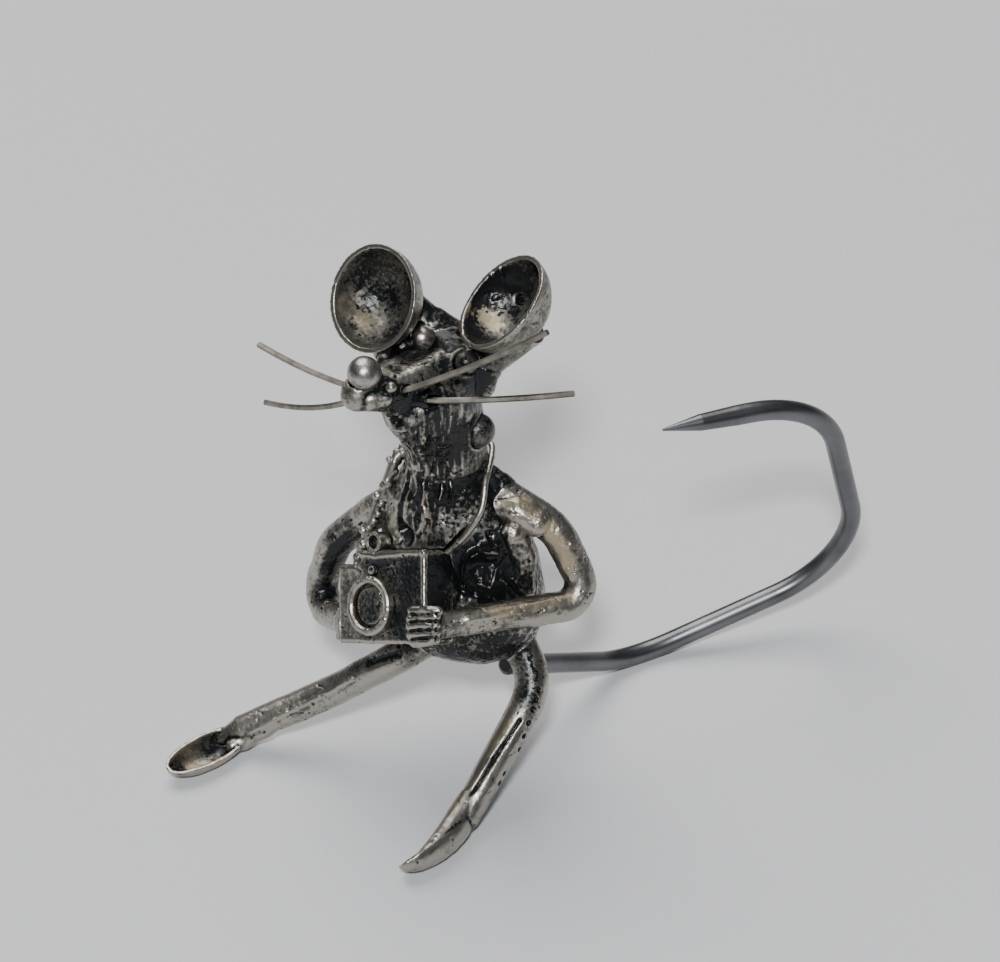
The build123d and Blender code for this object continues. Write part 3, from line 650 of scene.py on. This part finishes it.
# LEGS AND FEET
# Long soft rods of pewter, rubbed bright along the top, with a painted highlight along the left
# shin, that are soldered under the torso.
# They end in hollow spoons, filed flat underneath.
shin_ridge = [(-3.7, -10.9, 6.1), (-5.4, -12.2, 4.4), (-6.9, -13.9, 3.1), (-8.1, -15.3, 1.9)]
shin_groove = [(6.2, -6.1, 5.8), (6.2, -7.6, 4.7), (6.5, -10.0, 3.2), (6.4, -12.3, 1.3)]
shin_pits = [
    (6.1, -4.3, 7.1), (6.25, -4.7, 6.65), (6.4, -5.1, 6.2), (6.55, -5.6, 5.5),
    (6.65, -6.1, 4.8), (6.7, -6.6, 4.1), (7.0, -8.1, 3.2), (7.05, -8.6, 2.8),
]
# For each leg: its instep, folds, black patina and painted shade, and gold with painted highlights
leg_marks = {
    "leg_right": (
        [
            (-7.5, -13.7, 2.35, 0.72), (-8.0, -14.3, 1.75, 0.76), (-8.5, -14.8, 1.35, 0.72),
            (-8.7, -15.3, 0.95, 0.66), (-8.9, -16.1, 0.8, 0.48),
        ],
        [
            (0.16, 0.22, shin_ridge),
            (-0.25, 0.3, [(-3.0, -10.1, 7.4), (-1.4, -9.2, 8.4)]),
        ],
        [
            (0.9, 0.8, [(-3.9, -10.3, 6.9), (-2.1, -9.4, 8.3), (-0.9, -8.9, 8.5)]),
            (0.7, 0.5, [(-4.0, -12.6, 4.0), (-6.5, -15.2, 1.6)]),
        ],
        [(0.7, 0.8, [(-8.8, -17.9, 0.6), (-9.4, -18.8, 0.6)])],
    ),
    "leg_left": (
        [
            (6.2, -10.4, 2.25, 0.72), (6.45, -11.6, 1.65, 0.78), (6.8, -13.0, 1.3, 0.72),
            (7.1, -14.4, 1.15, 0.6), (7.25, -15.5, 1.1, 0.45),
        ],
        [(-0.25, 0.11, shin_groove), *((-0.22, 0.13, [pit]) for pit in shin_pits)],
        [
            (0.9, 0.8, [(4.6, -3.9, 8.8), (5.4, -4.4, 7.6), (5.7, -5.4, 6.7)]),
            (0.7, 0.16, shin_groove),
            (0.6, 0.4, [(6.1, -4.3, 7.1), (6.6, -5.8, 5.1), (6.7, -6.6, 4.1)]),
            (0.6, 0.5, [(7.2, -8.6, 2.4), (7.4, -11.0, 1.0)]),
        ],
        [(0.9, 0.5, [(5.7, -6.9, 5.6), (5.7, -9.6, 3.9), (5.8, -12.4, 2.0)])],
    ),
}
for seed, (node, (instep, folds, patina_and_shade, gold_and_highlight)) in enumerate(leg_marks.items(), 51):
    leg_mesh = blank(node, cell=0.07, easing=4, added=[instep])
    leg_near = nearness(leg_mesh, neighbours("torso", "tail_hook"), reach=0.4)
    solder(leg_mesh, leg_near, bead=0.08)
    lift(leg_mesh, drawn(points_of(leg_mesh), folds))
    weather(leg_mesh, seed, dents=0.05, pits=0.04)
    keep_marks(leg_mesh, leg_near, patina_and_shade, gold_and_highlight)
    leg_finish = antique(node + "_pewter", darkness=0.0, patch_size=380)
    place_piece(node, leg_mesh, leg_finish)

# TAIL
# A barbless fish hook of blackened steel wire, bent cold.
# Its shank is soldered under the butt, and the heel of its bend stands on the ground.


def wire_stain_group():
    """Faint clouds of a lighter tone on drawn wire, where it is also duller."""
    group = bpy.data.node_groups.new("wire_stain", "ShaderNodeTree")
    for name in ("Cloud scale", "Cloud detail", "From", "To", "Polish", "Dullness"):
        group.interface.new_socket(name, in_out="INPUT", socket_type="NodeSocketFloat")
    for name in ("Dark tone", "Light tone"):
        group.interface.new_socket(name, in_out="INPUT", socket_type="NodeSocketColor")
    group.interface.new_socket("Colour", in_out="OUTPUT", socket_type="NodeSocketColor")
    group.interface.new_socket("Roughness", in_out="OUTPUT", socket_type="NodeSocketFloat")
    nodes, link = group.nodes, group.links.new
    given, out = nodes.new("NodeGroupInput").outputs, nodes.new("NodeGroupOutput").inputs
    place = nodes.new("ShaderNodeTexCoord")
    clouds = nodes.new("ShaderNodeTexNoise")
    share = nodes.new("ShaderNodeMapRange")
    tone = nodes.new("ShaderNodeMix")
    tone.data_type = "RGBA"
    dullness = nodes.new("ShaderNodeMapRange")
    link(place.outputs["Object"], clouds.inputs["Vector"])
    link(given["Cloud scale"], clouds.inputs["Scale"])
    link(given["Cloud detail"], clouds.inputs["Detail"])
    link(clouds.outputs["Fac"], share.inputs["Value"])
    link(given["From"], share.inputs["From Min"])
    link(given["To"], share.inputs["From Max"])
    link(share.outputs["Result"], tone.inputs["Factor"])
    link(given["Dark tone"], tone.inputs[6])
    link(given["Light tone"], tone.inputs[7])
    link(tone.outputs[2], out["Colour"])
    link(clouds.outputs["Fac"], dullness.inputs["Value"])
    link(given["Polish"], dullness.inputs["To Min"])
    link(given["Dullness"], dullness.inputs["To Max"])
    link(dullness.outputs["Result"], out["Roughness"])
    return group


def wire_metal(name, values, even_roughness=None):
    """A metal finish for wire, with the stain's values; the stain dulls it unless it is even."""
    finish = bpy.data.materials.new(name)
    finish.use_nodes = True
    nodes, links = finish.node_tree.nodes, finish.node_tree.links
    surface = nodes["Principled BSDF"]
    surface.inputs["Metallic"].default_value = 1
    stain = nodes.new("ShaderNodeGroup")
    stain.node_tree = wire_stain
    for socket, value in values.items():
        stain.inputs[socket].default_value = value
    links.new(stain.outputs["Colour"], surface.inputs["Base Color"])
    if even_roughness is None:
        links.new(stain.outputs["Roughness"], surface.inputs["Roughness"])
    else:
        surface.inputs["Roughness"].default_value = even_roughness
    return finish


wire_stain = wire_stain_group()
gunmetal_values = {
    "Cloud scale": 260,
    "Cloud detail": 5,
    "From": 0.35,
    "To": 0.7,
    "Dark tone": (0.115, 0.117, 0.122, 1),
    "Light tone": (0.2, 0.202, 0.208, 1),
    "Polish": 0.26,
    "Dullness": 0.46,
}
hook_finish = wire_metal("gunmetal", gunmetal_values)
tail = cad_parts["tail_hook"]
tail.material_slots[0].link = "OBJECT"
tail.material_slots[0].material = hook_finish

# TOY CAMERA
# A stepped box of cast pewter with a lens ring, a lens, a viewfinder and a timer boss.
# Each is soldered on, and the box is held aslant between both hands.
rim_lines = [
    (0.22, 0.2, [(0.81, -8.81, 17.44), (3.24, -11.22, 12.89)]),
    (0.22, 0.24, [(-4.7, -9.5, 14.6), (-2.6, -9.4, 15.4), (0.81, -8.81, 17.44)]),
    (0.14, 0.2, [(0.81, -8.81, 17.44), (1.04, -6.38, 16.28)]),
    (0.14, 0.2, [(-3.51, -12.1, 9.76), (3.24, -11.22, 12.89)]),
]
# Black patina and painted shade on the side of the box.
side_patina_and_shade = [
    (0.8, 1.1, [(1.2, -7.6, 16.6), (3.2, -9.8, 12.4)]),
    (0.7, 0.9, [(0.3, -9.9, 15.4), (0.9, -11.0, 12.9)]),
]
# For each piece: its cell, easing, raised rims, black patina and painted shade, darkness and slot
toy_camera = {
    "camera_body": (0.06, 4, rim_lines, side_patina_and_shade, 0.36, "pewter"),
    "camera_lens_ring": (0.05, 3, [], [], -0.3, "pewter"),
    "camera_lens": (0.05, 2, [], [], 0.75, "dark_pewter"),
    "camera_finder": (0.045, 2, [], [], 0.1, "pewter"),
}
for seed, (node, (cell, easing, rims, patina_and_shade, darkness, slot)) in enumerate(toy_camera.items(), 61):
    box_mesh = blank(node, cell, easing)
    box_near = nearness(box_mesh, neighbours("arm_left", "arm_right", "torso"), reach=0.3)
    lift(box_mesh, drawn(points_of(box_mesh), rims))
    weather(box_mesh, seed, dents=0.07, pits=0.08)
    keep_marks(box_mesh, box_near, patina_and_shade)
    box_finish = antique(node + "_pewter", darkness, patch_size=420)
    place_piece(node, box_mesh, box_finish)

# WHISKERS
# Four stiff wires of white metal, each pressed into a hole drilled in the side of the muzzle.
# They are left bright, with faint brown stains.
whisker_values = {
    "Cloud scale": 1500,
    "Cloud detail": 2,
    "From": 0.3,
    "To": 0.7,
    "Dark tone": (0.17, 0.16, 0.135, 1),
    "Light tone": (0.34, 0.32, 0.27, 1),
}
whisker_finish = wire_metal("whisker_wire", whisker_values, even_roughness=0.45)
for side in ("right", "left"):
    for row in ("upper", "lower"):
        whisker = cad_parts[f"whisker_{side}_{row}"]
        whisker.material_slots[0].link = "OBJECT"
        whisker.material_slots[0].material = whisker_finish

# STRAP
# The toy camera's neck strap: a pewter wire bent round the nape, with both ends in its top edge.
# Solder runs along it, thinly at the left and in thick drops down the right of the chest.


def beaded_wire_tree():
    """A round wire along a path, with beads of solder strung on it unevenly."""
    path_step, wire_sides, smallest_bead = 0.12, 12, 0.45
    tree = bpy.data.node_groups.new("beaded_wire", "GeometryNodeTree")
    tree.interface.new_socket("Path", in_out="INPUT", socket_type="NodeSocketGeometry")
    for name in ("Wire radius", "Bead radius", "Bead step", "Bead scatter"):
        tree.interface.new_socket(name, in_out="INPUT", socket_type="NodeSocketFloat")
    tree.interface.new_socket("Seed", in_out="INPUT", socket_type="NodeSocketInt")
    tree.interface.new_socket("Finish", in_out="INPUT", socket_type="NodeSocketMaterial")
    tree.interface.new_socket("Wire", in_out="OUTPUT", socket_type="NodeSocketGeometry")
    add = tree.nodes.new
    given, out = add("NodeGroupInput"), add("NodeGroupOutput")
    path = add("GeometryNodeMeshToCurve")
    soft = add("GeometryNodeCurveSplineType")
    soft.spline_type = "CATMULL_ROM"
    fine = add("GeometryNodeResampleCurve")
    fine.mode = "LENGTH"
    fine.inputs["Length"].default_value = path_step
    ring = add("GeometryNodeCurvePrimitiveCircle")
    ring.inputs["Resolution"].default_value = wire_sides
    wire = add("GeometryNodeCurveToMesh")
    wire.inputs["Fill Caps"].default_value = True
    stops = add("GeometryNodeCurveToPoints")
    stops.mode = "LENGTH"
    bead = add("GeometryNodeMeshIcoSphere")
    bead.inputs["Subdivisions"].default_value = 3
    sizes = add("FunctionNodeRandomValue")
    sizes.data_type = "FLOAT"
    sizes.inputs[2].default_value = smallest_bead
    sizes.inputs[3].default_value = 1.0
    aside = add("FunctionNodeRandomValue")
    aside.data_type = "FLOAT_VECTOR"
    aside.inputs[0].default_value = (-1, -1, -1)
    scatter = add("ShaderNodeVectorMath")
    scatter.operation = "SCALE"
    shifted = add("GeometryNodeSetPosition")
    beads = add("GeometryNodeInstanceOnPoints")
    both = add("GeometryNodeJoinGeometry")
    whole = add("GeometryNodeRealizeInstances")
    coated = add("GeometryNodeSetMaterial")
    for source, end, target, entry in (
        (given, "Path", path, "Mesh"),
        (path, "Curve", soft, "Curve"),
        (soft, "Curve", fine, "Curve"),
        (given, "Wire radius", ring, "Radius"),
        (fine, "Curve", wire, "Curve"),
        (ring, "Curve", wire, "Profile Curve"),
        (fine, "Curve", stops, "Curve"),
        (given, "Bead step", stops, "Length"),
        (given, "Bead radius", bead, "Radius"),
        (given, "Seed", sizes, "Seed"),
        (given, "Seed", aside, "Seed"),
        (aside, 0, scatter, 0),
        (given, "Bead scatter", scatter, "Scale"),
        (stops, "Points", shifted, "Geometry"),
        (scatter, "Vector", shifted, "Offset"),
        (shifted, "Geometry", beads, "Points"),
        (bead, "Mesh", beads, "Instance"),
        (sizes, 1, beads, "Scale"),
        (wire, "Mesh", both, "Geometry"),
        (beads, "Instances", both, "Geometry"),
        (both, "Geometry", whole, "Geometry"),
        (whole, "Geometry", coated, "Geometry"),
        (given, "Finish", coated, "Material"),
        (coated, "Geometry", out, "Wire"),
    ):
        tree.links.new(source.outputs[end], target.inputs[entry])
    return tree


def beaded_wire(name, path, values):
    """The finished mesh of one beaded wire along its path, with the tree's values."""
    mesh = bpy.data.meshes.new(name)
    mesh.from_pydata(path, [(k, k + 1) for k in range(len(path) - 1)], [])
    body = bpy.data.objects.new(name, mesh)
    scene.collection.objects.link(body)
    strung = body.modifiers.new("strung", "NODES")
    strung.node_group = wire_tree
    for socket in wire_tree.interface.items_tree:
        if socket.name in values:
            strung[socket.identifier] = values[socket.name]
    return evened(body, cell=0.045, easing=2)


wire_tree = beaded_wire_tree()
strap_finish = antique("strap_pewter", darkness=0.15, patch_size=700)
nape_path = [
    (-4.2, -5.6, 20.6), (-4.0, -3.2, 20.95), (-2.6, -1.9, 21.0), (-0.6, -1.8, 21.0),
    (0.5, -2.9, 20.8), (1.3, -4.1, 20.4), (2.0, -5.2, 19.1), (1.7, -6.3, 17.6),
    (1.0, -6.9, 16.5), (0.7, -7.4, 16.1),
]
nape_values = {
    "Wire radius": 0.22,
    "Bead radius": 0.25,
    "Bead step": 0.55,
    "Bead scatter": 0.04,
    "Seed": 5,
    "Finish": strap_finish,
}
chest_path = [
    (-4.2, -5.4, 20.7), (-4.25, -6.3, 20.1), (-4.3, -7.2, 18.3),
    (-4.4, -8.4, 15.9), (-4.5, -9.3, 13.7),
]
chest_values = {
    "Wire radius": 0.34,
    "Bead radius": 0.36,
    "Bead step": 0.14,
    "Bead scatter": 0.24,
    "Seed": 9,
    "Finish": strap_finish,
}
strap = bmesh.new()
strap.from_mesh(beaded_wire("nape_side", nape_path, nape_values))
strap.from_mesh(beaded_wire("chest_side", chest_path, chest_values))
strap_mesh = bpy.data.meshes.new("strap")
strap.to_mesh(strap_mesh)
strap.free()
strap_near = nearness(strap_mesh, neighbours("torso", "head"), reach=0.25)
weather(strap_mesh, seed=71, dents=0.03, pits=0.03)
keep_marks(strap_mesh, 0.6 * strap_near)
place_piece("strap", strap_mesh, strap_finish)

# FLOOR, LIGHT AND CAMERA
# A pale table top that runs on as its own backdrop, under a window and a soft box.
# Black cloth hangs all round, out of sight, and darkens the sides of what the metal mirrors.


def plain_finish(name, colour, roughness):
    """An even, matt finish for what isn't part of the figurine."""
    finish = bpy.data.materials.new(name)
    finish.use_nodes = True
    surface = finish.node_tree.nodes["Principled BSDF"]
    surface.inputs["Base Color"].default_value = colour
    surface.inputs["Roughness"].default_value = roughness
    return finish


def stage_piece(name, corners, faces, finish):
    """Sets up a plain sheet that belongs to the stage."""
    mesh = bpy.data.meshes.new(name)
    mesh.from_pydata(corners, [], faces)
    mesh.materials.append(finish)
    sheet = bpy.data.objects.new(name, mesh)
    scene.collection.objects.link(sheet)


def lamp(name, place, size, power, colour, aim=(0, 0, 0.015)):
    """A square soft box that faces the figurine."""
    light = bpy.data.lights.new(name, "AREA")
    light.shape = "SQUARE"
    light.size = size
    light.energy = power
    light.color = colour
    box = bpy.data.objects.new(name, light)
    scene.collection.objects.link(box)
    box.location = place
    box.rotation_euler = (Vector(aim) - Vector(place)).to_track_quat("-Z", "Y").to_euler()


half_table = 1.5
table_sides = ((-1, -1), (1, -1), (1, 1), (-1, 1))
table_corners = [(x * half_table, y * half_table, 0) for x, y in table_sides]
paper = plain_finish("pale_paper", (0.62, 0.62, 0.63, 1), 0.85)
stage_piece("table_top", table_corners, [(0, 1, 2, 3)], paper)

world = bpy.data.worlds.new("room")
scene.world = world
world.use_nodes = True
world.node_tree.nodes["Background"].inputs["Color"].default_value = (0.86, 0.9, 1.0, 1)
world.node_tree.nodes["Background"].inputs["Strength"].default_value = 0.2
lamp("window", place=(0.27, -0.312, 0.438), size=0.055, power=3.2, colour=(0.94, 0.97, 1.0))
lamp("softbox", place=(-0.24, 0.1, 0.48), size=0.42, power=2.7, colour=(1.0, 0.98, 0.95))

flag_distance, flag_half_share = 0.6, 0.42
flag_foot, flag_head = 0.02, 0.34
flag_corners, flag_faces = [], []
for turn in range(6):
    angle = turn * np.pi / 3 + np.pi / 12
    for side in (-flag_half_share, flag_half_share):
        across = Vector((-np.sin(angle), np.cos(angle), 0)) * side * flag_distance
        post = Vector((np.cos(angle), np.sin(angle), 0)) * flag_distance + across
        flag_corners += [(post.x, post.y, flag_foot), (post.x, post.y, flag_head)]
    flag_faces.append((4 * turn, 4 * turn + 2, 4 * turn + 3, 4 * turn + 1))
black_cloth = plain_finish("black_cloth", (0.02, 0.02, 0.022, 1), 0.9)
stage_piece("black_flags", flag_corners, flag_faces, black_cloth)

camera_data = bpy.data.cameras.new("camera")
camera_data.sensor_width = 36
camera_data.lens = 190.67
camera_data.clip_start = 0.01
camera_data.clip_end = 10
camera = bpy.data.objects.new("camera", camera_data)
scene.collection.objects.link(camera)
camera_place = (0.181006, -0.182595, 0.211238)
rightward = Vector((0.7071068, 0.7071068, 0))
backward = Vector((0.5647, -0.5647, 0.6018)).normalized()
upward = backward.cross(rightward)
turned = Matrix((rightward, upward, backward)).transposed().to_4x4()
camera.matrix_world = Matrix.Translation(camera_place) @ turned
scene.camera = camera
